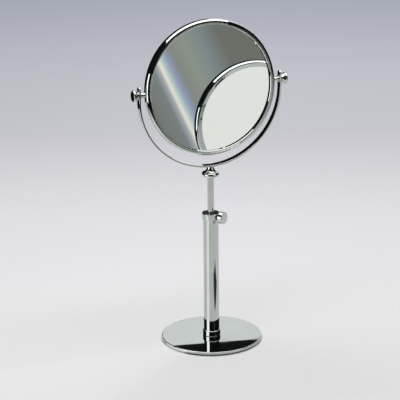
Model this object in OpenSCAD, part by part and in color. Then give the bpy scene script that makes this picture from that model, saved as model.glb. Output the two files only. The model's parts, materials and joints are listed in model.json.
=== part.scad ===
// Extendable table shaving mirror.
// A round double-sided mirror turns between the arms of a U-shaped yoke. The yoke stands on
// a rod that slides and turns in a tube on a round foot plate, and a side knob clamps the rod.
// Origin: centre of the foot, on the table. +Z is up, the plain glass looks towards -Y,
// and the mirror turns about an axis along X.

/* [Foot] */
// Diameter of the foot plate
base_d = 130; // [110:1:160]
// Thickness of the foot plate
base_t = 3.2; // [3:0.1:6]
// Height of the rubber feet
foot_h = 1.8; // [1:0.1:3]
// Diameter of one rubber foot
foot_d = 9; // [6:0.5:12]
// Turn of the ring of feet about the column
foot_phase = 35; // [0:1:89]

/* [Column] */
// Outer diameter of the column tube
tube_d = 20; // [18:0.5:24]
// Wall of the column tube
tube_wall = 1.3; // [1:0.1:1.6]
// Height of the top of the column above the table
column_top = 173; // [150:1:220]
// Diameter of the collar at the foot of the column
lower_collar_d = 22.6; // [22:0.1:30]
// Height of that collar
lower_collar_h = 7.5; // [5:0.5:12]

/* [Rod and clamp] */
// Diameter of the sliding rod
rod_d = 8.5; // [8:0.1:9]
// Length of rod that shows between the column and the boss
rod_shown = 49.5; // [30:0.5:90]
// Diameter of the clamp knob
clamp_knob_d = 16; // [12:0.5:20]
// Length of the clamp knob
clamp_knob_len = 8.2; // [6:0.1:12]
// Direction of the clamp knob, turned from the front towards the right
clamp_angle = 35; // [-90:1:90]

/* [Yoke] */
// Inner radius of the bend of the yoke, which is half the gap between its arms
yoke_r = 95; // [94:0.5:98]
// Width of the strip
strip_w = 9; // [8:0.5:12]
// Thickness of the strip
strip_t = 2.2; // [2:0.1:2.6]
// Height of the pivot above the centre of the bend
pivot_rise = 8; // [6.5:0.5:12]
// Length of arm above the pivot
arm_tip = 11.5; // [8:0.5:14]

/* [Mirror] */
// Outside diameter of the mirror's rim
rim_d = 176; // [173:0.5:177]
// Depth of the rim from front to back
rim_depth = 12.4; // [12.2:0.1:15]
// Width of the narrow ring round the glass
ring_w = 2.2; // [1.6:0.1:3]
// Radius of curvature of the magnifying glass
magnifier_r = 1200; // [1200:10:1600]
// How far the mirror leans back
tilt = 5; // [-90:0.1:90]

/* [Hidden] */

$fn = 96;

// Clearances: press is for pieces that stay together, run is for pieces that turn or slide
press = 0.02;
run = 0.05;
eps = 0.01;

// Foot
base_top = foot_h + base_t;
foot_ring_r = base_d / 2 - 2.6 - foot_d / 2;
base_edge_r = 0.9;
base_screw_r = 2.5;
base_screw_head_r = 4.8;
base_screw_head_h = 2.3;

// Column
tube_r = tube_d / 2;
bore_r = tube_r - tube_wall;
plug_h = 13;
bush_flange_t = 1.2;
bush_h = 30;
tube_top = column_top - bush_flange_t;
sleeve_wall = 1.5;
sleeve_r = tube_r + sleeve_wall;
sleeve_h = 12;
sleeve_taper_h = 4.5;

// Clamp
clamp_z = column_top - 4.2;
clamp_screw_r = 2;
clamp_pitch = 0.7;
insert_r = 3.2;
insert_start = rod_d / 2 + 2.3;
pad_r = 1.9;
pad_len = 2.05;
knob_start = sleeve_r + 1.4;

// Rod
rod_r = rod_d / 2;
rod_spigot_r = 3;
boss_h = 13.4;
boss_bottom = column_top + rod_shown;
boss_top = boss_bottom + boss_h;
piston_h = 12;
piston_bottom = 76;
piston_top = piston_bottom + piston_h;
piston_washer_t = 1;
fixing_r = 2;

// Boss
boss_neck_r = 4.4;
boss_r = 11.4;
boss_rim_r = 3.2;
boss_flare_r = 10;
boss_flare_start = 8;
boss_flare_end = 52;

// Yoke
bend_z = boss_top + strip_t + yoke_r;
pivot_z = bend_z + pivot_rise;
strip_edge_r = 0.6;
yoke_screw_head_r = 3.7;
yoke_screw_head_h = 1.7;

// Pivots, measured outwards from the middle of the mirror
journal_r = 2.5;
stub_r = 3;
stub_collar_r = 4;
rim_r = rim_d / 2;
stub_start = rim_r + press;
inner_washer_t = 0.5;
stub_end = yoke_r - inner_washer_t - 2 * run;
stub_collar_t = 1.4;
arm_out = yoke_r + strip_t;
thrust_washer_t = 0.6;
thrust_washer_r = 5.2;
pivot_knob_start = arm_out + thrust_washer_t + 2 * run;
pivot_knob_r = 7.5;
pivot_knob_waist_r = 5.4;
pivot_knob_len = 7.2;
knob_screw_r = 1.5;

// Mirror, measured towards the plain side from the pivot axis
rim_bore_r = rim_r - 4.6;
rim_shoulder_r = 4;
glass_r = rim_bore_r - 0.2;
glass_t = 2;
plain_face = rim_depth / 2 - 3.6;
magnifier_face = rim_depth / 2 - 1.2;
felt_t = 0.4;
spacer_inner_r = 60;
bead_share = 0.64;
bead_stand = 0.2;

// Points along an arc about (cx, cy)
function arc(cx, cy, r, from, to, steps = 8) =
    [for (i = [0:steps]) let (a = from + (to - from) * i / steps) [cx + r * cos(a), cy + r * sin(a)]];

// Depth of the magnifying glass's hollow at radius r, counted from its edge
function hollow(r) =
    sqrt(pow(magnifier_r, 2) - r * r) - sqrt(pow(magnifier_r, 2) - glass_r * glass_r);

// Puts a piece that is drawn along Z on the clamp's axis, which points out of the collar
module on_clamp() {
    translate([0, 0, clamp_z]) rotate([0, 0, clamp_angle]) rotate([90, 0, 0]) children();
}

// Puts a piece that is drawn along Z on the mirror's own axis, with +Z towards the plain side
module on_mirror() {
    translate([0, 0, pivot_z]) rotate([-tilt, 0, 0]) rotate([90, 0, 0]) children();
}

// Puts a piece that is drawn along Z on the right-hand pivot, with +Z away from the mirror
module on_right_pivot() {
    translate([0, 0, pivot_z]) rotate([-tilt, 0, 0]) rotate([0, 90, 0]) children();
}

// Mirrors a right-hand piece to the left
module to_left() {
    mirror([1, 0, 0]) children();
}

// Rectangle with round corners, centred
module round_rect(w, h, r) {
    square([w - 2 * r, h], center = true);
    square([w, h - 2 * r], center = true);
    for (x = [-1, 1], y = [-1, 1])
        translate([x * (w / 2 - r), y * (h / 2 - r)]) circle(r, $fn = 32);
}

// Flat ring
module ring(outer, inner, h) {
    difference() {
        cylinder(h = h, r = outer);
        translate([0, 0, -1]) cylinder(h = h + 2, r = inner);
    }
}

// Countersunk screw along Z, with its flat head at z = 0 and a hexagon socket in it
module countersunk_screw(shank_r, head_r, head_h, length, socket_r) {
    difference() {
        union() {
            cylinder(h = head_h, r1 = head_r, r2 = shank_r);
            cylinder(h = length, r = shank_r);
        }
        translate([0, 0, -eps]) cylinder(h = head_h, r = socket_r, $fn = 6);
    }
}

// Hole for a countersunk screw, through a plate that starts at z = 0
module countersunk_hole(shank_r, head_r, head_h, depth) {
    translate([0, 0, -eps]) cylinder(h = depth + 2 * eps, r = shank_r + press);
    cylinder(h = head_h, r1 = head_r + press, r2 = shank_r + press);
    translate([0, 0, -1]) cylinder(h = 1 + eps, r = head_r + press);
}

// ---- Foot ----

module base_disc() {
    r = base_edge_r;
    color("silver") difference() {
        rotate_extrude($fn = 180) polygon(concat(
            [[0, foot_h], [base_d / 2 - r / 2, foot_h], [base_d / 2, foot_h + r / 2]],
            arc(base_d / 2 - r, base_top - r, r, 0, 90),
            [[0, base_top]]));
        translate([0, 0, foot_h])
            countersunk_hole(base_screw_r, base_screw_head_r, base_screw_head_h, base_t);
    }
}

module rubber_feet() {
    edge = 0.4;
    color("dimgray") for (i = [0:3])
        rotate([0, 0, foot_phase + 90 * i]) translate([foot_ring_r, 0, 0])
            rotate_extrude($fn = 48) polygon(concat(
                [[0, 0]],
                arc(foot_d / 2 - edge, edge, edge, -90, 0, 4),
                [[foot_d / 2 - edge / 2, foot_h], [0, foot_h]]));
}

module base_screw() {
    color("gray") translate([0, 0, foot_h])
        countersunk_screw(base_screw_r, base_screw_head_r, base_screw_head_h, 13, 1.7);
}

// ---- Column ----

module lower_collar() {
    r = lower_collar_d / 2;
    edge = 0.9;
    color("silver") rotate_extrude() polygon(concat(
        [[tube_r + press, base_top], [r - edge, base_top]],
        arc(r - edge, base_top + edge, edge, -90, 0, 5),
        arc(r - edge, base_top + lower_collar_h - edge, edge, 0, 90, 5),
        [[tube_r + press, base_top + lower_collar_h]]));
}

module column_tube() {
    color("silver") difference() {
        translate([0, 0, base_top]) ring(tube_r, bore_r, tube_top - base_top);
        on_clamp() cylinder(h = tube_d, r = insert_r + press, $fn = 48);
    }
}

module tube_plug() {
    color("gray") translate([0, 0, base_top]) ring(bore_r - press, base_screw_r + press, plug_h);
}

module upper_collar() {
    bottom = column_top - sleeve_h;
    shoulder = bottom + sleeve_taper_h;
    edge = 0.5;
    color("silver") difference() {
        rotate_extrude() polygon(concat(
            [[tube_r + press, bottom], [tube_r + 0.2, bottom]],
            [for (i = [1:7]) let (t = i / 8)
                [tube_r + 0.2 + (sleeve_wall - 0.2) * (1 - cos(180 * t)) / 2, bottom + sleeve_taper_h * t]],
            [[sleeve_r, shoulder]],
            arc(sleeve_r - edge, column_top - edge, edge, 0, 90, 4),
            [[tube_r + press, column_top]]));
        on_clamp() cylinder(h = tube_d, r = insert_r + press, $fn = 48);
    }
}

module guide_bush() {
    color("black") difference() {
        union() {
            translate([0, 0, column_top - bush_h]) cylinder(h = bush_h, r = bore_r - press);
            translate([0, 0, tube_top]) cylinder(h = bush_flange_t, r = tube_r - press);
        }
        translate([0, 0, column_top - bush_h - 1]) cylinder(h = bush_h + 2, r = rod_r + run);
        on_clamp() cylinder(h = tube_d, r = pad_r + 2 * run, $fn = 48);
        on_clamp() translate([0, 0, insert_start - press])
            cylinder(h = tube_d, r = insert_r + press, $fn = 48);
    }
}

// ---- Clamp ----

module clamp_insert() {
    color("gold") on_clamp() translate([0, 0, insert_start])
        ring(insert_r, clamp_screw_r + run, sleeve_r + 0.2 - insert_start, $fn = 48);
}

module clamp_pad() {
    color("ivory") on_clamp() translate([0, 0, rod_r + run]) cylinder(h = pad_len, r = pad_r, $fn = 48);
}

module clamp_screw() {
    start = rod_r + 2 * run + pad_len;
    color("gray") on_clamp() translate([0, 0, start])
        cylinder(h = knob_start + 5 - start, r = clamp_screw_r, $fn = 48);
}

module clamp_knob() {
    r = clamp_knob_d / 2;
    edge = 1.2;
    back_edge = 0.8;
    color("silver") on_clamp() translate([0, 0, knob_start]) difference() {
        rotate_extrude() polygon(concat(
            [[0, 0], [r - 2.4, 0]],
            arc(r - back_edge, 1 + back_edge, back_edge, -60, 0, 4),
            arc(r - edge, clamp_knob_len - 0.5 - edge, edge, 0, 80, 6),
            [[0, clamp_knob_len]]));
        translate([0, 0, -eps]) cylinder(h = 5 + press, r = clamp_screw_r + press, $fn = 48);
    }
}

// ---- Rod ----

module rod_piston() {
    color("ivory") translate([0, 0, piston_bottom])
        ring(bore_r - 1.6 * run, rod_spigot_r + run, piston_h - run);
}

module piston_washer() {
    color("gray") translate([0, 0, piston_bottom - piston_washer_t - run])
        ring(5, fixing_r + press, piston_washer_t);
}

module piston_screw() {
    head_h = 2.6;
    head_bottom = piston_bottom - run - piston_washer_t - head_h;
    color("gray") translate([0, 0, head_bottom]) difference() {
        union() {
            cylinder(h = head_h, r = 3.6);
            cylinder(h = head_h + 10, r = fixing_r);
        }
        translate([0, 0, -eps]) cylinder(h = 1.6, r = 1.45, $fn = 6);
    }
}

module extension_rod() {
    color("silver") difference() {
        union() {
            translate([0, 0, piston_bottom]) cylinder(h = piston_h + 1, r = rod_spigot_r);
            translate([0, 0, piston_top]) cylinder(h = boss_bottom - piston_top, r = rod_r);
            translate([0, 0, boss_bottom - 1]) cylinder(h = boss_h + 1 - press, r = rod_spigot_r);
        }
        translate([0, 0, piston_bottom - 1]) cylinder(h = 12, r = fixing_r + press);
        translate([0, 0, boss_top - 12]) cylinder(h = 13, r = fixing_r + press);
    }
}

// ---- Head ----

// Bell-shaped boss: a neck that flares in an arc to a thick round rim
module swivel_boss() {
    neck_z = boss_h - 0.5;
    centre_r = boss_neck_r + boss_flare_r * cos(boss_flare_start);
    centre_z = neck_z + boss_flare_r * sin(boss_flare_start);
    color("silver") translate([0, 0, boss_bottom]) difference() {
        rotate_extrude() polygon(concat(
            [[0, 0], [boss_r - boss_rim_r, 0]],
            arc(boss_r - boss_rim_r, boss_rim_r, boss_rim_r, -80, 65, 10),
            arc(centre_r, centre_z, boss_flare_r, 180 + boss_flare_end, 180 + boss_flare_start, 10),
            [[boss_neck_r, boss_h - press], [0, boss_h - press]]));
        translate([0, 0, -1]) cylinder(h = boss_h + 2, r = rod_spigot_r + press);
    }
}

module strip_section() {
    round_rect(strip_t, strip_w, strip_edge_r);
}

module yoke_arm() {
    tip_z = pivot_z + arm_tip - strip_w / 2;
    intersection() {
        translate([yoke_r + strip_t / 2, 0, bend_z]) linear_extrude(height = pivot_rise + arm_tip)
            strip_section();
        union() {
            translate([yoke_r - 1, -strip_w, bend_z - 1])
                cube([strip_t + 2, 2 * strip_w, tip_z - bend_z + 1]);
            translate([yoke_r - 1, 0, tip_z]) rotate([0, 90, 0]) cylinder(h = strip_t + 2, r = strip_w / 2);
        }
    }
}

module yoke() {
    color("silver") difference() {
        union() {
            translate([0, 0, bend_z]) rotate([-90, 0, 0]) rotate_extrude(angle = 180, $fn = 180)
                translate([yoke_r + strip_t / 2, 0]) strip_section();
            yoke_arm();
            to_left() yoke_arm();
        }
        translate([-arm_out - 1, 0, pivot_z]) rotate([0, 90, 0])
            cylinder(h = 2 * arm_out + 2, r = journal_r + run, $fn = 48);
        translate([0, 0, boss_top + strip_t]) mirror([0, 0, 1])
            countersunk_hole(fixing_r, yoke_screw_head_r, yoke_screw_head_h, strip_t + 1);
    }
}

module yoke_screw() {
    color("gray") translate([0, 0, boss_top + strip_t]) mirror([0, 0, 1])
        countersunk_screw(fixing_r, yoke_screw_head_r, yoke_screw_head_h, 11, 1.4);
}

// ---- Mirror ----

// Section of the rim: a plain bore, and an outside with a narrow band and big round shoulders
module rim_section() {
    half = rim_depth / 2;
    inner_lip = 0.4;
    polygon(concat(
        [[rim_bore_r, -half + inner_lip], [rim_bore_r + inner_lip, -half]],
        arc(rim_r - rim_shoulder_r, rim_shoulder_r - half, rim_shoulder_r, -90, 0, 6),
        arc(rim_r - rim_shoulder_r, half - rim_shoulder_r, rim_shoulder_r, 0, 90, 6),
        [[rim_bore_r + inner_lip, half], [rim_bore_r, half - inner_lip]]));
}

module mirror_rim() {
    color("silver") difference() {
        on_mirror() rotate([0, 0, 45]) rotate_extrude($fn = 180) rim_section();
        for (side = [0, 1]) mirror([side, 0, 0]) on_right_pivot()
            translate([0, 0, rim_bore_r - 1]) cylinder(h = 10, r = journal_r + press, $fn = 48);
    }
}

// Narrow round-nosed ring in the bore of the rim, in front of a glass whose face is at glass_face
module retaining_ring(glass_face) {
    inner = rim_bore_r - ring_w;
    outer = rim_bore_r - press;
    bead_r = min(bead_share * ring_w, rim_depth / 2 - glass_face);
    nose = rim_depth / 2 + bead_stand - bead_r;
    rotate_extrude($fn = 180) polygon(concat(
        [[inner, glass_face + press], [outer, glass_face + press], [outer, nose]],
        arc(inner + bead_r, nose, bead_r, 60, 180, 8)));
}

module front_retaining_ring() {
    color("silver") on_mirror() retaining_ring(plain_face);
}

module rear_retaining_ring() {
    color("silver") on_mirror() mirror([0, 0, 1]) retaining_ring(magnifier_face);
}

module plain_glass() {
    color("lightsteelblue") on_mirror() translate([0, 0, plain_face - glass_t])
        cylinder(h = glass_t, r = glass_r, $fn = 180);
}

module magnifying_glass() {
    steps = 20;
    face = [for (i = [0:steps]) let (r = glass_r * i / steps) [r, hollow(r) - magnifier_face]];
    back = [for (i = [steps:-1:0]) let (r = glass_r * i / steps) [r, hollow(r) - magnifier_face + glass_t]];
    color("lightsteelblue") on_mirror() rotate_extrude($fn = 180) polygon(concat(face, back));
}

module spacer_ring() {
    steps = 6;
    outer = glass_r - 0.1;
    top = plain_face - glass_t - felt_t - press;
    back = [for (i = [0:steps]) let (r = spacer_inner_r + (outer - spacer_inner_r) * i / steps)
        [r, hollow(r) - magnifier_face + glass_t + press]];
    color("tan") on_mirror() rotate_extrude($fn = 180)
        polygon(concat(back, [[outer, top], [spacer_inner_r, top]]));
}

module backing_felt() {
    color("darkgreen") on_mirror() translate([0, 0, plain_face - glass_t - felt_t])
        cylinder(h = felt_t - press, r = glass_r - 0.1, $fn = 180);
}

// ---- Pivots ----

module pivot_stub() {
    color("silver") on_right_pivot() difference() {
        union() {
            translate([0, 0, rim_bore_r + 0.6])
                cylinder(h = stub_start - rim_bore_r, r = journal_r, $fn = 48);
            translate([0, 0, stub_start]) cylinder(h = stub_end - stub_start, r = stub_r, $fn = 64);
            translate([0, 0, stub_end - stub_collar_t])
                cylinder(h = stub_collar_t, r = stub_collar_r, $fn = 64);
            translate([0, 0, stub_end - 1]) cylinder(h = arm_out - stub_end + 1, r = journal_r, $fn = 64);
        }
        translate([0, 0, stub_start]) cylinder(h = 20, r = knob_screw_r + run, $fn = 48);
    }
}

module inner_washer() {
    on_right_pivot() translate([0, 0, stub_end + press])
        ring(stub_collar_r, journal_r + press, inner_washer_t, $fn = 64);
}

module inner_washers() {
    color("ivory") inner_washer();
    color("ivory") to_left() inner_washer();
}

module thrust_washer() {
    color("gray") on_right_pivot() translate([0, 0, arm_out + run])
        ring(thrust_washer_r, knob_screw_r + run, thrust_washer_t, $fn = 64);
}

// Round knob: a waisted drum behind a wider, slightly domed face
module pivot_knob() {
    face_edge = 1.1;
    drum = pivot_knob_len - 3.2;
    color("silver") on_right_pivot() translate([0, 0, pivot_knob_start]) difference() {
        rotate_extrude() polygon(concat(
            [[0, 0], [pivot_knob_waist_r, 0], [pivot_knob_waist_r, 0.9]],
            [for (i = [1:6]) let (t = i / 6)
                [pivot_knob_waist_r + (pivot_knob_r - 0.3 - pivot_knob_waist_r) * (1 - cos(90 * t)),
                 0.9 + (drum - 0.9) * t]],
            [[pivot_knob_r, drum + 0.4]],
            arc(pivot_knob_r - face_edge, pivot_knob_len - 0.4 - face_edge, face_edge, 0, 80, 6),
            [[0, pivot_knob_len]]));
        translate([0, 0, -eps]) cylinder(h = 4 + press, r = knob_screw_r + press, $fn = 48);
    }
}

module knob_screw() {
    start = stub_start + 1;
    color("gray") on_right_pivot() translate([0, 0, start])
        cylinder(h = pivot_knob_start + 4 - start, r = knob_screw_r, $fn = 48);
}

module pivot_stub_right() { pivot_stub(); }
module pivot_stub_left() { to_left() pivot_stub(); }
module thrust_washer_right() { thrust_washer(); }
module thrust_washer_left() { to_left() thrust_washer(); }
module pivot_knob_right() { pivot_knob(); }
module pivot_knob_left() { to_left() pivot_knob(); }
module knob_screw_right() { knob_screw(); }
module knob_screw_left() { to_left() knob_screw(); }

base_disc();
rubber_feet();
base_screw();
lower_collar();
column_tube();
tube_plug();
upper_collar();
guide_bush();
clamp_insert();
clamp_pad();
clamp_screw();
clamp_knob();
rod_piston();
piston_washer();
piston_screw();
extension_rod();
swivel_boss();
yoke();
yoke_screw();
mirror_rim();
front_retaining_ring();
rear_retaining_ring();
plain_glass();
magnifying_glass();
spacer_ring();
backing_felt();
pivot_stub_left();
pivot_stub_right();
inner_washers();
thrust_washer_left();
thrust_washer_right();
pivot_knob_left();
pivot_knob_right();
knob_screw_left();
knob_screw_right();
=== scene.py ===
"""Looks of the extendable shaving mirror: polished chrome pieces, silvered glasses, studio."""
import json
import math

import bmesh
import bpy
from mathutils import Matrix, Vector


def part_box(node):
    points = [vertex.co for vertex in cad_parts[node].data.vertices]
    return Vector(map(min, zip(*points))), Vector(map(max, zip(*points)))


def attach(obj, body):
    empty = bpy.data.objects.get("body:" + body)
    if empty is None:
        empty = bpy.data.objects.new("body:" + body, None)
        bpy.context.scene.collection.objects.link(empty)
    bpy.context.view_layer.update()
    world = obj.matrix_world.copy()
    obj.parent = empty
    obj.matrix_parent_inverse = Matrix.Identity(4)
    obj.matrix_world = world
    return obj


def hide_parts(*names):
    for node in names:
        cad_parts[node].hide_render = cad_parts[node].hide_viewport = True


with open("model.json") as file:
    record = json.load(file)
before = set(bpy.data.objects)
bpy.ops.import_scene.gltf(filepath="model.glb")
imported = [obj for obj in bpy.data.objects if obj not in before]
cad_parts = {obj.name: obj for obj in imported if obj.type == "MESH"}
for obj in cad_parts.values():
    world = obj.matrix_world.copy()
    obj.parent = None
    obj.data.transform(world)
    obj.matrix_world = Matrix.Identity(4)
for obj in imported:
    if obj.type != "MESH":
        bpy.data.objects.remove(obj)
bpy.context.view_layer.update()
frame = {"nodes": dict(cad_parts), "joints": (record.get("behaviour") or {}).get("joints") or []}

MM = 0.001

# How many segments a turned piece gets round its axis
RIM_SEGMENTS = 320
PLATE_SEGMENTS = 256
TURNED_SEGMENTS = 192
PIN_SEGMENTS = 96
HOLE_SEGMENTS = 64
PAD_SEGMENTS = 48

# Clearance between pieces that stay together, in millimetres
PRESS = 0.02
# Turned surfaces whose edges bend more than this many degrees stay sharp
SHARP_ANGLE = 32
TINY = 1e-6

# ---------------------------------------------------------------- places from the frame


def joint(name):
    return next(j for j in frame["joints"] if j["name"] == name)


def low(node, axis=2):
    """Lowest coordinate of a CAD node, in millimetres."""
    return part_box(node)[0][axis] / MM


def high(node, axis=2):
    """Highest coordinate of a CAD node, in millimetres."""
    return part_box(node)[1][axis] / MM


def middle(node):
    """Middle of a CAD node's box, in metres."""
    return (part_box(node)[0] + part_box(node)[1]) / 2


PIVOT = Vector(joint("mirror_tilt")["pos_m"])
GLASS_OFFSET = middle("plain_glass") - PIVOT
TILT = math.atan2(GLASS_OFFSET.z, -GLASS_OFFSET.y)
CLAMP_OUTWARD = Vector((*middle("clamp_knob").xy, 0)).normalized()

UPRIGHT = Matrix.Identity(4)
ON_MIRROR = Matrix.Translation(PIVOT) @ Matrix.Rotation(math.pi / 2 - TILT, 4, "X")
ON_CLAMP = (Matrix.Translation((0, 0, middle("clamp_knob").z))
            @ CLAMP_OUTWARD.to_track_quat("Z", "Y").to_matrix().to_4x4())


def on_pivot(side):
    """Frame on the tilt axis with +Z away from the mirror; side is 1 for right, -1 for left."""
    return Matrix.Translation(PIVOT) @ Matrix.Rotation(side * math.pi / 2, 4, "Y")


def measure(node, place=UPRIGHT):
    """Inner radius, outer radius, bottom and top of a CAD node about a place's Z, in millimetres."""
    to_place = place.inverted()
    spots = [to_place @ v.co / MM for v in frame["nodes"][node].data.vertices]
    radii = [math.hypot(spot.x, spot.y) for spot in spots]
    heights = [spot.z for spot in spots]
    return min(radii), max(radii), min(heights), max(heights)


# ---------------------------------------------------------------- mesh helpers


def fillet(corners, steps=6, closed=True):
    """Outline with round corners, from (radius, height) or (radius, height, fillet) corners."""
    points = []
    count = len(corners)
    for i, corner in enumerate(corners):
        here = Vector(corner[:2])
        size = corner[2] if len(corner) > 2 else 0
        if not size or (not closed and i in (0, count - 1)):
            points.append(tuple(here))
            continue
        to_last = (Vector(corners[i - 1][:2]) - here).normalized()
        to_next = (Vector(corners[(i + 1) % count][:2]) - here).normalized()
        half = to_last.angle(to_next) / 2
        centre = here + (to_last + to_next).normalized() * size / math.sin(half)
        start = here + to_last * size / math.tan(half) - centre
        turn = start.angle_signed(here + to_next * size / math.tan(half) - centre)
        for k in range(steps + 1):
            spot = start.copy()
            spot.rotate(Matrix.Rotation(-turn * k / steps, 2))
            points.append(tuple(centre + spot))
    return points


def bow(start, end, bulge, steps=16):
    """Points after start up to end on an arc that stands bulge to the left of the chord."""
    a, b = Vector(start), Vector(end)
    chord = b - a
    side = Vector((-chord.y, chord.x)).normalized()
    points = []
    for k in range(1, steps + 1):
        t = k / steps
        points.append(tuple(a + chord * t + side * bulge * 4 * t * (1 - t)))
    return points


def finish_mesh(name, mesh, material):
    """Wraps a mesh in an object with clean smooth shading."""
    for polygon in mesh.polygons:
        polygon.use_smooth = True
    mesh.set_sharp_from_angle(angle=math.radians(SHARP_ANGLE))
    piece = bpy.data.objects.new(name, mesh)
    bpy.context.scene.collection.objects.link(piece)
    mesh.materials.append(material)
    weighted = piece.modifiers.new("weighted", "WEIGHTED_NORMAL")
    weighted.keep_sharp = True
    return piece


def lathe(name, outline, places, material, closed=True, segments=TURNED_SEGMENTS):
    """Turns an outline of (radius, height) in millimetres about Z, once at each place."""
    bm = bmesh.new()
    for place in places:
        rings = []
        for r, z in outline:
            if r < TINY:
                rings.append([bm.verts.new(place @ Vector((0, 0, z * MM)))] * segments)
                continue
            ring = []
            for k in range(segments):
                a = math.tau * k / segments
                spot = Vector((r * MM * math.cos(a), r * MM * math.sin(a), z * MM))
                ring.append(bm.verts.new(place @ spot))
            rings.append(ring)
        pairs = list(zip(rings, rings[1:]))
        if closed:
            pairs.append((rings[-1], rings[0]))
        for one, two in pairs:
            for k in range(segments):
                m = (k + 1) % segments
                corners = []
                for v in (one[k], one[m], two[m], two[k]):
                    if v not in corners:
                        corners.append(v)
                if len(corners) > 2:
                    bm.faces.new(corners)
    bmesh.ops.recalc_face_normals(bm, faces=bm.faces)
    mesh = bpy.data.meshes.new(name)
    bm.to_mesh(mesh)
    bm.free()
    return finish_mesh(name, mesh, material)


def settle(piece, body, slot, *nodes):
    """Puts a finished piece in the frame: what it rides on, its slot (not used), the CAD nodes it stands for.
    """
    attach(piece, body)
    if nodes:
        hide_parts(*nodes)
    return piece


# ---------------------------------------------------------------- materials


class Shader:
    """A small node-tree writer round one Principled shader."""

    def __init__(self, name, **values):
        self.material = bpy.data.materials.new(name)
        self.material.use_nodes = True
        self.tree = self.material.node_tree
        self.surface = self.tree.nodes["Principled BSDF"]
        for key, value in values.items():
            self.surface.inputs[key.replace("_", " ")].default_value = value
        self.place = self.tree.nodes.new("ShaderNodeTexCoord").outputs["Object"]

    def node(self, kind, **settings):
        made = self.tree.nodes.new(kind)
        for key, value in settings.items():
            setattr(made, key, value)
        return made

    def link(self, source, target):
        self.tree.links.new(source, target)

    def stretched(self, scale):
        """Object coordinates scaled unevenly, for brushed or drawn grain."""
        mapping = self.node("ShaderNodeMapping")
        mapping.inputs["Scale"].default_value = scale
        self.link(self.place, mapping.inputs["Vector"])
        return mapping.outputs["Vector"]

    def noise(self, scale, detail=3.0, rough=0.5, where=None):
        made = self.node("ShaderNodeTexNoise")
        made.inputs["Scale"].default_value = scale
        made.inputs["Detail"].default_value = detail
        made.inputs["Roughness"].default_value = rough
        self.link(where or self.place, made.inputs["Vector"])
        return made.outputs["Fac"]

    def remap(self, source, low_in, high_in, low_out, high_out):
        made = self.node("ShaderNodeMapRange")
        limits = {"From Min": low_in, "From Max": high_in, "To Min": low_out, "To Max": high_out}
        for key, value in limits.items():
            made.inputs[key].default_value = value
        self.link(source, made.inputs["Value"])
        return made.outputs["Result"]

    def maths(self, operation, one, two):
        made = self.node("ShaderNodeMath", operation=operation)
        for socket, value in zip(made.inputs, (one, two)):
            if isinstance(value, (int, float)):
                socket.default_value = value
            else:
                self.link(value, socket)
        return made.outputs["Value"]

    def ramp(self, source, stops):
        made = self.node("ShaderNodeValToRGB")
        elements = made.color_ramp.elements
        while len(elements) < len(stops):
            elements.new(0.5)
        for element, (position, colour) in zip(elements, stops):
            element.position = position
            element.color = (*colour, 1)
        self.link(source, made.inputs["Fac"])
        return made.outputs["Color"]

    def feed(self, socket, source):
        self.link(source, self.surface.inputs[socket])

    def bump(self, height, distance, strength=1.0):
        made = self.node("ShaderNodeBump")
        made.inputs["Distance"].default_value = distance
        made.inputs["Strength"].default_value = strength
        self.link(height, made.inputs["Height"])
        self.link(made.outputs["Normal"], self.surface.inputs["Normal"])


CHROME = (0.545, 0.575, 0.555)
CHROME_DULL = (0.50, 0.53, 0.51)


def chrome(name, grain=(1, 1, 1), grain_scale=900, depth=0.25e-6, roughness=0.01):
    """Polished chrome: faint grain of the polished metal, a haze of handling and a few dull spots."""
    shader = Shader(name, Metallic=1.0)
    haze = shader.noise(scale=26, detail=4, rough=0.6)
    grain_noise = shader.noise(scale=grain_scale, detail=2, rough=0.5, where=shader.stretched(grain))
    film = shader.remap(haze, 0.5, 0.8, 0.0, 0.03)
    fine = shader.remap(grain_noise, 0.3, 0.7, 0.0, 0.01)
    base = shader.maths("ADD", film, roughness)
    shader.feed("Roughness", shader.maths("ADD", base, fine))
    shader.feed("Base Color", shader.ramp(haze, [(0.35, CHROME), (0.8, CHROME_DULL)]))
    shader.bump(grain_noise, depth)
    return shader.material


def mirror_silver(name):
    """Silvered glass: almost perfect, with a trace of haze from wiping."""
    shader = Shader(name, Metallic=1.0)
    wiped = shader.noise(scale=34, detail=5, rough=0.65, where=shader.stretched((1, 1, 0.35)))
    shader.feed("Roughness", shader.remap(wiped, 0.4, 0.8, 0.004, 0.03))
    shader.feed("Base Color", shader.ramp(wiped, [(0.3, (0.86, 0.885, 0.875)), (0.9, (0.83, 0.86, 0.85))]))
    return shader.material


def plastic(name, dark, light, roughness=0.4):
    """Turned or moulded plastic with fine tool marks."""
    shader = Shader(name, Metallic=0.0, IOR=1.48)
    mottle = shader.noise(scale=400, detail=3, rough=0.5)
    marks = shader.noise(scale=900, detail=2, rough=0.5, where=shader.stretched((1, 1, 12)))
    shader.feed("Base Color", shader.ramp(mottle, [(0.3, dark), (0.7, light)]))
    shader.feed("Roughness", shader.remap(marks, 0.3, 0.7, roughness - 0.08, roughness + 0.1))
    shader.bump(marks, 12e-6)
    return shader.material


def rubber(name):
    """Moulded black rubber with a dusty, pebbled skin."""
    shader = Shader(name, Metallic=0.0, IOR=1.5)
    pebble = shader.noise(scale=1800, detail=4, rough=0.6)
    dust = shader.noise(scale=120, detail=4, rough=0.6)
    shader.feed("Base Color", shader.ramp(dust, [(0.35, (0.012, 0.012, 0.012)), (0.8, (0.05, 0.05, 0.048))]))
    shader.feed("Roughness", shader.remap(pebble, 0.3, 0.7, 0.6, 0.85))
    shader.bump(pebble, 60e-6)
    return shader.material


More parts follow.
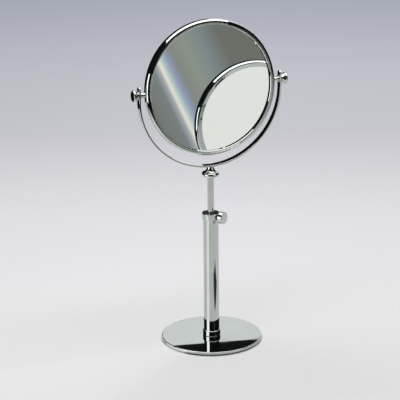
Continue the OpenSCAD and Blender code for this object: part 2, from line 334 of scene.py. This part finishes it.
def metal(name, dark, light, roughness=0.28):
    """Turned steel or brass fixings with fine lathe marks."""
    shader = Shader(name, Metallic=1.0)
    marks = shader.noise(scale=1400, detail=2, rough=0.5, where=shader.stretched((1, 1, 14)))
    stain = shader.noise(scale=160, detail=4, rough=0.6)
    shader.feed("Base Color", shader.ramp(stain, [(0.3, dark), (0.7, light)]))
    shader.feed("Roughness", shader.remap(marks, 0.3, 0.7, roughness - 0.08, roughness + 0.12))
    shader.bump(marks, 8e-6)
    return shader.material


def fibre(name, dark, light, scale, depth):
    """Felt or hardboard: matted fibres."""
    shader = Shader(name, Metallic=0.0, Roughness=0.9)
    mat = shader.noise(scale=scale, detail=6, rough=0.7)
    shader.feed("Base Color", shader.ramp(mat, [(0.3, dark), (0.7, light)]))
    shader.bump(mat, depth)
    return shader.material


PLATE = chrome("chrome_plate", roughness=0.004, depth=0.1e-6)
TURNED = chrome("chrome_turned", grain=(1, 1, 8), grain_scale=1400)
TUBE = chrome("chrome_tube", grain=(6, 6, 0.4), grain_scale=700)
KNOBS = chrome("chrome_knobs", grain_scale=1600)
STRIP = chrome("chrome_strip", grain_scale=800)
RIM = chrome("chrome_rim", grain_scale=1000)
SILVER = mirror_silver("mirror_glass")
ACETAL = plastic("black_acetal", (0.008, 0.008, 0.008), (0.02, 0.02, 0.02), 0.14)
NYLON = plastic("white_nylon", (0.72, 0.7, 0.62), (0.84, 0.82, 0.75), 0.4)
RUBBER = rubber("black_rubber")
STEEL = metal("steel_screws", (0.42, 0.42, 0.42), (0.6, 0.6, 0.59))
BRASS = metal("brass_insert", (0.6, 0.42, 0.16), (0.78, 0.6, 0.28))
BOARD = fibre("spacer_board", (0.2, 0.13, 0.07), (0.36, 0.25, 0.15), 900, 60e-6)
FELT = fibre("green_felt", (0.02, 0.07, 0.04), (0.06, 0.15, 0.09), 1500, 120e-6)

# ---------------------------------------------------------------- stand


def make_foot():
    """Plate with soft edges and a countersunk hole, and four moulded feet under it."""
    under_edge, upper_edge = 0.45, 0.9
    shank_share = 0.52
    _, edge, bottom, top = measure("base_disc")
    head = measure("base_screw")[1]
    shank = shank_share * head
    disc = fillet([(head, bottom), (edge, bottom, under_edge), (edge, top, upper_edge), (shank, top),
                   (shank, bottom + head - shank)], 8)
    plate = lathe("foot_plate", disc, [UPRIGHT], PLATE, segments=PLATE_SEGMENTS)
    settle(plate, "stand", "chrome_plate", "base_disc")

    count, draft, foot_edge = 4, 0.05, 0.5
    near, far, bottom, top = measure("rubber_feet")
    ring = (near + far) / 2
    r = (far - near) / 2
    foot = fillet([(0, bottom), (r - draft, bottom, foot_edge), (r, top), (0, top)], 5, closed=False)
    corners = [v.co for v in frame["nodes"]["rubber_feet"].data.vertices]
    outermost = max(corners, key=lambda spot: spot.xy.length)
    phase = math.atan2(outermost.y, outermost.x)
    places = []
    for k in range(count):
        turn = phase + math.tau / count * k
        places.append(Matrix.Translation((ring * MM * math.cos(turn), ring * MM * math.sin(turn), 0)))
    pads = lathe("foot_pads", foot, places, RUBBER, closed=False, segments=PAD_SEGMENTS)
    settle(pads, "stand", "black_rubber", "rubber_feet")


def make_column():
    """Tube between its two collars, and the dark bush in its mouth."""
    lower_edge, upper_edge = 0.8, 1.0
    bore, r, base, rise = measure("lower_collar")
    collar = fillet([(bore, base), (r, base, lower_edge), (r, rise, upper_edge), (bore, rise)], 8)
    settle(lathe("column_foot_collar", collar, [UPRIGHT], TURNED), "stand", "chrome_turned", "lower_collar")

    bore, outer, base, rise = measure("column_tube")
    tube = [(bore, base), (outer, base), (outer, rise), (bore, rise)]
    settle(lathe("column_outer_tube", tube, [UPRIGHT], TUBE), "stand", "chrome_tube", "column_tube")

    lip_stand, taper, steps = 0.18, 5.0, 12
    crown_depth, crown_edge = 3, 0.55
    bore, r, bottom, top = measure("upper_collar")
    lip = bore + lip_stand
    swell = []
    for k in range(steps + 1):
        t = k / steps
        swell.append((lip + (r - lip) * (1 - math.cos(math.pi * t)) / 2, bottom + taper * t))
    crown = fillet([(r, top - crown_depth), (r, top, crown_edge), (bore, top)], 8, closed=False)
    collar = [(bore, bottom)] + swell + crown[1:]
    settle(lathe("column_head_collar", collar, [UPRIGHT], TURNED), "stand", "chrome_turned", "upper_collar")

    sunk, outer_edge, mouth_edge = 0.1, 0.3, 0.7
    bore, flange, foot, rise = measure("guide_bush")
    shank = measure("column_tube")[0] - PRESS
    flange_foot = measure("column_tube")[3]
    bush = fillet([(bore, foot), (shank, foot), (shank, flange_foot), (flange, flange_foot),
                   (flange, rise - sunk, outer_edge), (bore, rise - sunk, mouth_edge)], 6)
    settle(lathe("guide_bush_piece", bush, [UPRIGHT], ACETAL), "stand", "black_acetal", "guide_bush")


def make_clamp_knob():
    """Short drum with a chamfered back, a round front edge and a slightly domed face."""
    back_inset, back_depth, back_edge = 2.2, 1.4, 1.6
    front_inset, front_edge, face_inset, dome = 0.35, 1.1, 0.1, 0.12
    _, r, start, end = measure("clamp_knob", ON_CLAMP)
    bore = measure("clamp_screw", ON_CLAMP)[1] + PRESS
    socket = measure("clamp_screw", ON_CLAMP)[3] + PRESS
    side = fillet([(bore, start), (r - back_inset, start), (r, start + back_depth, back_edge),
                   (r, end - front_inset, front_edge), (bore, end - face_inset)], 8, closed=False)
    outline = [(0, socket), (bore, socket)] + side[:-1] + bow(side[-2], (0, end), dome, 10)
    knob = lathe("clamp_knob_piece", outline, [ON_CLAMP], KNOBS, closed=False)
    settle(knob, "clamp", "chrome_knobs", "clamp_knob")


# ---------------------------------------------------------------- head

# Radius of a pivot's journal, as a share of the radius of its collar
JOURNAL_SHARE = 0.625


def make_boss():
    """Bell: a neck under the yoke that flares in a hollow curve to a thick round rim."""
    neck_share, lip, lip_steps = 0.386, 3.15, 12
    lip_start, lip_turn = -88, 153
    flare, flare_drop, flare_steps = 10.0, 0.5, 18
    start, end = math.radians(8), math.radians(52)
    neck_straight, neck_edge = 0.4, 0.2
    bore, r, bottom, top = measure("swivel_boss")
    neck = neck_share * r
    rim = []
    for k in range(lip_steps + 1):
        a = math.radians(lip_start + lip_turn * k / lip_steps)
        rim.append((r - lip + lip * math.cos(a), bottom + lip + lip * math.sin(a)))
    curve = []
    for k in range(flare_steps + 1):
        a = end + (start - end) * k / flare_steps
        out = neck + flare * (math.cos(start) - math.cos(a))
        curve.append((out, top - flare_drop + flare * (math.sin(start) - math.sin(a))))
    shoulder = fillet([(neck, top - neck_straight), (neck, top, neck_edge), (bore, top)], 4, closed=False)
    outline = [(bore, bottom)] + rim + curve + shoulder[1:]
    settle(lathe("bell_boss", outline, [UPRIGHT], TURNED), "head", "chrome_turned", "swivel_boss")


def make_rod():
    """Rod with a thinner spigot at each end, tapped for the screws that hold the piston and the yoke."""
    thread_share, foot_tap, head_tap, piston_gap = 0.67, 11, 12, 0.05
    _, r, foot, head = measure("extension_rod")
    spigot = measure("swivel_boss")[0] - PRESS
    thread = thread_share * spigot
    shoulder = measure("rod_piston")[3] + piston_gap
    collar = low("swivel_boss")
    rod = [(0, foot + foot_tap), (thread, foot + foot_tap), (thread, foot), (spigot, foot),
           (spigot, shoulder), (r, shoulder), (r, collar), (spigot, collar), (spigot, head),
           (thread, head), (thread, head - head_tap), (0, head - head_tap)]
    settle(lathe("rod_turned", rod, [UPRIGHT], TUBE, closed=False), "head", "chrome_tube", "extension_rod")


def bend_u(along, across, up, bend_r, bend_z):
    """Carries a point of a flat strip on to the U: along runs from the left tip to the right."""
    quarter = bend_r * math.pi / 2
    if abs(along) <= quarter:
        a = along / bend_r
        return Vector(((bend_r - up) * math.sin(a), across, bend_z - (bend_r - up) * math.cos(a)))
    return Vector((math.copysign(bend_r - up, along), across, bend_z + abs(along) - quarter))


def strip_outline(reach, r, stations, tip):
    """Flat outline of a strip with half-round ends, as (along, across)."""
    ring = [(-reach + 2 * reach * k / stations, r) for k in range(stations + 1)]
    for k in range(1, 2 * tip):
        a = math.pi / 2 - math.pi * k / (2 * tip)
        ring.append((reach + r * math.cos(a), r * math.sin(a)))
    ring += [(reach - 2 * reach * k / stations, -r) for k in range(stations + 1)]
    for k in range(1, 2 * tip):
        a = -math.pi / 2 - math.pi * k / (2 * tip)
        ring.append((-reach + r * math.cos(a), r * math.sin(a)))
    return ring


def drill(piece, outline, place):
    """Cuts a turned hole out of a piece and keeps the result as its mesh."""
    cutter = lathe("cutter", outline, [place], piece.data.materials[0], closed=False, segments=HOLE_SEGMENTS)
    hole = piece.modifiers.new("hole", "BOOLEAN")
    hole.operation, hole.solver, hole.object = "DIFFERENCE", "EXACT", cutter
    cut = bpy.data.meshes.new_from_object(piece.evaluated_get(bpy.context.evaluated_depsgraph_get()))
    piece.modifiers.remove(hole)
    piece.data = cut
    bpy.data.objects.remove(cutter)


def make_yoke():
    """Strip with soft edges and half-round ends, bent into a U and drilled for its screw and pivots."""
    upper = [v.co for v in frame["nodes"]["yoke"].data.vertices if v.co.z > PIVOT.z]
    inner = min(abs(spot.x) for spot in upper) / MM
    thick = high("yoke", 0) - inner
    edge = 0.6
    width = high("yoke", 1) - low("yoke", 1)
    bend_r = inner + thick / 2
    bend_z = low("yoke") + thick + inner
    reach = bend_r * math.pi / 2 + high("yoke") - bend_z - width / 2
    stations, tip, steps = 300, 8, 5
    levels = []
    for k in range(steps + 1):
        a = math.pi / 2 * k / steps
        levels.append((edge * (1 - math.cos(a)), thick / 2 - edge + edge * math.sin(a)))
    levels = [(inset, -up) for inset, up in reversed(levels)] + levels
    bm = bmesh.new()
    rows = []
    for inset, up in levels:
        outline = strip_outline(reach, width / 2 - inset, stations, tip)
        rows.append([bm.verts.new(bend_u(a, b, up, bend_r, bend_z) * MM) for a, b in outline])
    count = len(rows[0])
    for one, two in zip(rows, rows[1:]):
        for k in range(count):
            m = (k + 1) % count
            bm.faces.new((one[k], one[m], two[m], two[k]))
    for row in (rows[0], rows[-1]):
        for k in range(-tip, stations + tip):
            corners = []
            for index in (k, k + 1, 2 * stations + 2 * tip - k - 1, 2 * stations + 2 * tip - k):
                if row[index % count] not in corners:
                    corners.append(row[index % count])
            bm.faces.new(corners)
    bmesh.ops.recalc_face_normals(bm, faces=bm.faces)
    mesh = bpy.data.meshes.new("yoke_strip")
    bm.to_mesh(mesh)
    bm.free()
    strip = finish_mesh("yoke_strip", mesh, STRIP)

    past, shank_share, run = 1, 0.54, 0.05
    _, head, _, screw_top = measure("yoke_screw")
    shank = shank_share * head
    under, over = low("yoke") - past, screw_top + past
    drill(strip, [(0, under), (shank, under), (shank, screw_top - head + shank), (head, screw_top),
                  (head, over), (0, over)], UPRIGHT)
    journal = JOURNAL_SHARE * measure("pivot_stub_right", on_pivot(1))[1] + run
    inside, outside = inner - past, inner + thick + past
    for side in (1, -1):
        drill(strip, [(0, inside), (journal, inside), (journal, outside), (0, outside)], on_pivot(side))
    settle(strip, "head", "chrome_strip", "yoke")


# ---------------------------------------------------------------- mirror


def make_mirror():
    """Rim with big round shoulders, a round-nosed bead on each side, and the two glasses."""
    shoulder, lip, steps = 4.0, 0.5, 16
    bore, outer, _, half = measure("mirror_rim", ON_MIRROR)
    crown = []
    for turn, centre in ((-90, shoulder - half), (0, half - shoulder)):
        for k in range(steps + 1):
            a = math.radians(turn + 90 * k / steps)
            crown.append((outer - shoulder + shoulder * math.cos(a), centre + shoulder * math.sin(a)))
    rim = [(bore, lip - half)] + crown + [(bore, half - lip)]
    piece = lathe("mirror_frame", rim, [ON_MIRROR], RIM, segments=RIM_SEGMENTS)
    settle(piece, "mirror", "chrome_rim", "mirror_rim")

    width_share, depth_share, wall_edge = 0.7, 0.8, 0.35
    behind = ON_MIRROR @ Matrix.Rotation(math.pi, 4, "X")
    for side, place in (("front", ON_MIRROR), ("rear", behind)):
        sight, wall, seat, nose = measure(side + "_retaining_ring", place)
        rounding = min(width_share * (wall - sight), depth_share * (nose - seat))
        bead = fillet([(sight, seat), (wall, seat), (wall, nose, wall_edge), (sight, nose, rounding)], 12)
        piece = lathe(side + "_bead", bead, [place], RIM, segments=RIM_SEGMENTS)
        settle(piece, "mirror", "chrome_rim", side + "_retaining_ring")

    chamfer = 0.4
    _, glass, reverse, face = measure("plain_glass", ON_MIRROR)
    plain = [(0, face), (glass - chamfer, face), (glass, face - chamfer), (glass, reverse), (0, reverse)]
    piece = lathe("plain_glass_plate", plain, [ON_MIRROR], SILVER, closed=False, segments=PLATE_SEGMENTS)
    settle(piece, "mirror", "mirror_glass", "plain_glass")

    hollow_steps = 48
    _, glass, edge, crest = measure("magnifying_glass", ON_MIRROR)
    thick = face - reverse
    depth = crest - edge - thick
    curve = (glass ** 2 + depth ** 2) / (2 * depth)
    hollow = []
    for k in range(hollow_steps + 1):
        r = glass * k / hollow_steps
        hollow.append((r, edge + depth - curve + math.sqrt(curve ** 2 - r * r)))
    dished = hollow + [(r, z + thick) for r, z in reversed(hollow)]
    piece = lathe("dished_glass", dished, [ON_MIRROR], SILVER, closed=False, segments=PLATE_SEGMENTS)
    settle(piece, "mirror", "mirror_glass", "magnifying_glass")


def make_pivot(side, name):
    """Stepped pin between the rim and the yoke's arm, and the waisted knob outside the arm."""
    shaft_share, washer_t, collar_t, back_edge, collar_edge = 0.75, 0.52, 1.4, 0.3, 0.25
    place = on_pivot(side)
    screw, collar, start, end = measure("pivot_stub_" + name, place)
    shaft = shaft_share * collar
    journal = JOURNAL_SHARE * collar
    rim = measure("mirror_rim", ON_MIRROR)[1]
    seat = measure("inner_washers", place)[3] - washer_t
    stub = fillet([(screw, start), (journal, start), (journal, rim), (shaft, rim),
                   (shaft, seat - collar_t, back_edge), (collar, seat - collar_t, collar_edge),
                   (collar, seat, collar_edge), (journal, seat), (journal, end), (screw, end)], 5)
    piece = lathe("stub_" + name, stub, [place], TURNED, segments=PIN_SEGMENTS)
    settle(piece, "mirror", "chrome_turned", "pivot_stub_" + name)

    socket, waist_share, waist_len, waist_edge, flare_steps = 4, 0.72, 1.0, 0.3, 12
    head_t, head_inset, shoulder, shoulder_edge = 3.0, 0.35, 0.4, 0.3
    face_inset, face_edge, face_flat, dome = 0.3, 1.0, 1.0, 0.1
    _, r, start, end = measure("pivot_knob_" + name, place)
    waist = waist_share * r
    drum = end - start - head_t
    neck = r - head_inset
    outline = [(0, start + socket), (screw, start + socket)]
    outline += fillet([(screw, start), (waist, start, waist_edge), (waist, start + waist_len)],
                      5, closed=False)
    for k in range(1, flare_steps + 1):
        t = k / flare_steps
        swell = (neck - waist) * (1 - math.cos(math.pi / 2 * t))
        outline.append((waist + swell, start + waist_len + (drum - waist_len) * t))
    head = fillet([(neck, start + drum), (r, start + drum + shoulder, shoulder_edge),
                   (r, end - face_inset, face_edge), (face_flat, end)], 8, closed=False)
    outline += head[1:-1] + bow(head[-2], (0, end), dome, 10)
    knob = lathe("knob_" + name, outline, [place], KNOBS, closed=False)
    settle(knob, "knob_" + name, "chrome_knobs", "pivot_knob_" + name)


# ---------------------------------------------------------------- CAD nodes that stay

KEPT = {
    "base_screw": STEEL, "tube_plug": STEEL, "clamp_insert": BRASS, "clamp_pad": NYLON, "clamp_screw": STEEL,
    "rod_piston": NYLON, "piston_washer": STEEL, "piston_screw": STEEL, "yoke_screw": TURNED,
    "spacer_ring": BOARD, "backing_felt": FELT, "inner_washers": NYLON, "thrust_washer_left": STEEL,
    "thrust_washer_right": STEEL, "knob_screw_left": STEEL, "knob_screw_right": STEEL,
}


def dress_kept_nodes():
    """Gives the CAD nodes that stay their materials."""
    for name, material in KEPT.items():
        node = frame["nodes"][name]
        for index in range(len(node.material_slots)):
            node.material_slots[index].material = material


# ---------------------------------------------------------------- studio

CAMERA_AZIMUTH = math.radians(-21.95)
CAMERA_ELEVATION = math.radians(18.55)
CAMERA_DISTANCE = 3.5
CAMERA_LENS = 245.7
CAMERA_ROLL = math.radians(0.42)
CAMERA_SHIFT = (-0.0264, -0.0555)
SENSOR_WIDTH = 36.0
CLIP_END = 60
AIM_HEIGHT = 0.22
# Cards on the floor stand this far above it, in metres
FLOOR_GAP = 0.001


def camera_axes():
    """Unit vectors towards the camera, and level to its right."""
    a, e = CAMERA_AZIMUTH, CAMERA_ELEVATION
    back = Vector((math.sin(a) * math.cos(e), -math.cos(a) * math.cos(e), math.sin(e)))
    right = Vector((math.cos(a), math.sin(a), 0))
    return back, right


def make_camera():
    """Long-lens camera at the object's three-quarter view, looking a little down."""
    back, _ = camera_axes()
    data = bpy.data.cameras.new("camera")
    data.lens = CAMERA_LENS
    data.sensor_width = SENSOR_WIDTH
    data.clip_end = CLIP_END
    data.shift_x, data.shift_y = CAMERA_SHIFT
    camera = bpy.data.objects.new("camera", data)
    bpy.context.scene.collection.objects.link(camera)
    camera.location = Vector((0, 0, AIM_HEIGHT)) + back * CAMERA_DISTANCE
    camera.rotation_mode = "QUATERNION"
    roll = Matrix.Rotation(-CAMERA_ROLL, 3, "Z").to_quaternion()
    camera.rotation_quaternion = back.to_track_quat("Z", "Y") @ roll
    bpy.context.scene.camera = camera


def bearing_point(bearing, distance, height):
    """A place in the studio at a bearing in degrees: 0 is towards the camera, 90 to its right."""
    back, right = camera_axes()
    level = Vector((back.x, back.y, 0)).normalized()
    turn = math.radians(bearing)
    return (level * math.cos(turn) + right * math.sin(turn)) * distance + Vector((0, 0, height))


def studio_point(ahead, right_of, height):
    """A place in the studio: past the object along the camera's level line, to its right, and up."""
    back, right = camera_axes()
    level = Vector((back.x, back.y, 0)).normalized()
    return -level * ahead + right * right_of + Vector((0, 0, height))


# Where the floor's painted falloff of light starts in front of the object and ends behind it, in metres
FLOOR_NEAR, FLOOR_FAR = -0.6, 1.8
FLOOR_RADIUS = 9
# Painted shade: floor colours from near to far, darker and bluer where less light reaches
FLOOR_PAINTED_FALLOFF = [(0.15, (0.84, 0.84, 0.84)), (0.30, (0.80, 0.80, 0.808)), (0.45, (0.74, 0.735, 0.77)),
               (0.62, (0.585, 0.585, 0.632)), (0.78, (0.60, 0.61, 0.675)), (0.96, (0.59, 0.62, 0.73))]


def make_floor():
    """Pale sweep with painted shade: its colour darkens and turns bluish behind the object, standing in for
    the light's falloff.
    """
    shader = Shader("floor_paper", Metallic=0.0, Roughness=0.9)
    ahead = studio_point(1, 0, 0)
    dot = shader.node("ShaderNodeVectorMath", operation="DOT_PRODUCT")
    shader.link(shader.place, dot.inputs[0])
    dot.inputs[1].default_value = ahead
    far = shader.remap(dot.outputs["Value"], FLOOR_NEAR, FLOOR_FAR, 0, 1)
    # Painted shade: the base colour darkens away from the light, in place of the lighting doing it
    shader.feed("Base Color", shader.ramp(far, FLOOR_PAINTED_FALLOFF))
    shader.bump(shader.noise(scale=500, detail=4, rough=0.6), 20e-6)
    bpy.ops.mesh.primitive_circle_add(vertices=96, radius=FLOOR_RADIUS, fill_type="NGON", location=(0, 0, 0))
    floor = bpy.context.object
    floor.name = "floor"
    floor.data.materials.append(shader.material)


def glow_material(name, colour, strength, stops=None):
    """Light of one colour, or one that changes across the card from its left to its right."""
    made = bpy.data.materials.new(name)
    made.use_nodes = True
    made.cycles.emission_sampling = "NONE"
    tree = made.node_tree
    tree.nodes.clear()
    out = tree.nodes.new("ShaderNodeOutputMaterial")
    glow = tree.nodes.new("ShaderNodeEmission")
    glow.inputs["Color"].default_value = (*colour, 1)
    glow.inputs["Strength"].default_value = strength
    tree.links.new(glow.outputs["Emission"], out.inputs["Surface"])
    if stops:
        across = tree.nodes.new("ShaderNodeSeparateXYZ")
        tree.links.new(tree.nodes.new("ShaderNodeTexCoord").outputs["Object"], across.inputs["Vector"])
        shift = tree.nodes.new("ShaderNodeMath")
        shift.inputs[1].default_value = 0.5
        tree.links.new(across.outputs["X"], shift.inputs[0])
        ramp = tree.nodes.new("ShaderNodeValToRGB")
        while len(ramp.color_ramp.elements) < len(stops):
            ramp.color_ramp.elements.new(0.5)
        for element, (position, tone) in zip(ramp.color_ramp.elements, stops):
            element.position = position
            element.color = (*tone, 1)
        tree.links.new(shift.outputs["Value"], ramp.inputs["Fac"])
        tree.links.new(ramp.outputs["Color"], glow.inputs["Color"])
    return made


def hide_card(made):
    """Keeps a studio piece out of everything but reflections."""
    made.visible_camera = False
    made.visible_diffuse = False
    made.visible_shadow = False
    made.visible_transmission = False


def card(name, centre, facing, width, height, material, roll=0.0):
    """A reflector card that only polished surfaces see."""
    bpy.ops.mesh.primitive_plane_add(size=1, location=centre)
    made = bpy.context.object
    made.name = name
    made.scale = (width, height, 1)
    made.rotation_mode = "QUATERNION"
    turn = (Vector(facing) - Vector(centre)).to_track_quat("Z", "Y")
    made.rotation_quaternion = turn @ Matrix.Rotation(math.radians(roll), 3, "Z").to_quaternion()
    made.data.materials.append(material)
    hide_card(made)


def floor_wedge(name, material, bearings, distances, steps=12):
    """A reflector card on the floor between two bearings and two distances."""
    start, end = bearings
    spots = []
    for distance in distances:
        for k in range(steps + 1):
            spots.append(bearing_point(start + (end - start) * k / steps, distance, FLOOR_GAP))
    faces = [(k, k + 1, steps + 2 + k, steps + 1 + k) for k in range(steps)]
    mesh = bpy.data.meshes.new(name)
    mesh.from_pydata(spots, [], faces)
    mesh.materials.append(material)
    made = bpy.data.objects.new(name, mesh)
    bpy.context.scene.collection.objects.link(made)
    hide_card(made)


def standing_card(name, material, bearing, distance, height, size):
    """An upright reflector card at a bearing and a distance, facing the column's axis."""
    card(name, bearing_point(bearing, distance, height), bearing_point(bearing, 0, height), *size, material)


def area_light(name, place, target, width, height, power):
    data = bpy.data.lights.new(name, "AREA")
    data.shape = "RECTANGLE"
    data.size, data.size_y = width, height
    data.energy = power
    lamp = bpy.data.objects.new(name, data)
    lamp.location = place
    lamp.rotation_mode = "QUATERNION"
    lamp.rotation_quaternion = (Vector(target) - Vector(place)).to_track_quat("-Z", "Y")
    bpy.context.scene.collection.objects.link(lamp)


def make_lights():
    """One big soft light overhead, and hardly any light from the dark room."""
    behind, rise, side, watts = 0.4, 1.9, 2.4, 55
    below = studio_point(behind, 0, 0)
    area_light("overhead_softbox", studio_point(behind, 0, rise), below, side, side, watts)
    world = bpy.data.worlds.new("studio")
    bpy.context.scene.world = world
    world.use_nodes = True
    world.node_tree.nodes["Background"].inputs["Color"].default_value = (0.010, 0.011, 0.011, 1)
    world.node_tree.nodes["Background"].inputs["Strength"].default_value = 1.0


def make_reflectors():
    """Cards round the object: a softbox at the left, a glowing card behind in place of lit pale paper
    (painted light), dark flags between them.
    """
    white = glow_material("softbox_white", (1, 1, 1), 2.6)
    standing_card("left_softbox", white, bearing=-55, distance=1.0, height=0.315, size=(0.72, 0.57))
    pool = glow_material("softbox_pool", (0.97, 1, 0.98), 1.22)
    floor_wedge("left_pool", pool, bearings=(-31, -68), distances=(0.06, 0.5))

    # Painted light: a glowing card, seen only in reflections, in place of pale paper lit by the studio lamps
    paper = glow_material("backdrop_painted_glow", (0.97, 0.985, 1.0), 1.0)
    paper_ahead, paper_right, paper_height, paper_roll = 1.3, 0.6, 0.095, -4.5
    paper_centre = studio_point(paper_ahead, paper_right, paper_height)
    paper_facing = studio_point(0, paper_right, paper_height)
    card("backdrop_card", paper_centre, paper_facing, 1.5, 0.8, paper, paper_roll)

    panel = glow_material("right_panel", (1, 1, 1), 1.9)
    card("right_back_panel", bearing_point(152, 1.5, 1.35), (0, 0, 0.4), 0.8, 1.1, panel)

    flag = glow_material("black_flag", (0.006, 0.006, 0.006), 1.0)
    standing_card("back_left_flag", flag, bearing=-138, distance=0.9, height=0.4, size=(0.7, 0.8))
    # Painted shade: a near-black sheet on the floor in front, seen only in reflections, in place of floor
    # that lies in shade
    floor_wedge("front_floor_painted_shade", flag, bearings=(-90, 90), distances=(0.76, 6.0))

    dark = glow_material("dark_disc", (0.04, 0.045, 0.045), 1.0)
    side, bearing, distance = 0.15, 57, 0.21
    card("floor_flag", bearing_point(bearing, distance, FLOOR_GAP), bearing_point(bearing, distance, 1),
         side, side, dark)


# Painted reflection: tones and a warm band of light with cyan and blue edges, painted on the card the plain
# glass reflects
GLASS_PAINTED_REFLECTION = [(0.12, (0.19, 0.20, 0.18)), (0.245, (0.22, 0.245, 0.25)), (0.278, (0.42, 0.45, 0.49)),
               (0.295, (0.90, 0.86, 0.74)), (0.325, (0.42, 0.55, 0.58)), (0.35, (0.32, 0.35, 0.50)),
               (0.385, (0.265, 0.28, 0.255)), (0.47, (0.30, 0.33, 0.28)), (0.56, (0.235, 0.285, 0.295)),
               (0.67, (0.175, 0.18, 0.16))]


def make_glass_scene():
    """What the plain glass shows, as painted reflection: a glowing card painted with tones and a band of
    light, and a round hooped reflector.
    """
    card_distance, card_size, card_roll = 1.2, (0.30, 0.6), 180 - 21.7
    eye = bpy.context.scene.camera.location
    facing = ON_MIRROR.to_3x3() @ Vector((0, 0, 1))
    away = (PIVOT - eye).normalized().reflect(facing)
    # Painted reflection: a glowing card carrying the picture that the plain glass shows
    painted_reflection = glow_material("glass_painted_reflection", (1, 1, 1), 1.0, GLASS_PAINTED_REFLECTION)
    card("glass_card", PIVOT + away * card_distance, PIVOT, *card_size, painted_reflection, card_roll)

    hoop_offset, hoop_scale = Vector((0.1125, -0.145, -0.072)), 0.95
    band, seat, disc_sunk = 4.5, 4, 2.5
    hoop_place = Matrix.Translation(hoop_offset) @ ON_MIRROR @ Matrix.Rotation(math.pi, 4, "X")
    _, outer, _, half = measure("mirror_rim", ON_MIRROR)
    outer *= hoop_scale
    inner = outer - band
    hoop = fillet([(inner - seat, half - 2), (inner - 3, half, 1), (inner, half - 0.5, 0.5), (outer, half, 4),
                   (outer, -half, 4), (inner - seat, -half)], 8)
    hide_card(lathe("reflector_hoop", hoop, [hoop_place], RIM))
    white = glow_material("reflector_white", (0.86, 0.865, 0.835), 1.0)
    disc = [(0, half - disc_sunk), (inner - seat, half - disc_sunk), (inner - seat, 2 - half), (0, 2 - half)]
    hide_card(lathe("reflector_disc", disc, [hoop_place], white, closed=False))


make_foot()
make_column()
make_clamp_knob()
make_boss()
make_rod()
make_yoke()
make_mirror()
make_pivot(1, "right")
make_pivot(-1, "left")
dress_kept_nodes()
make_camera()
make_floor()
make_lights()
make_reflectors()
make_glass_scene()
bpy.context.scene.view_settings.view_transform = "Standard"
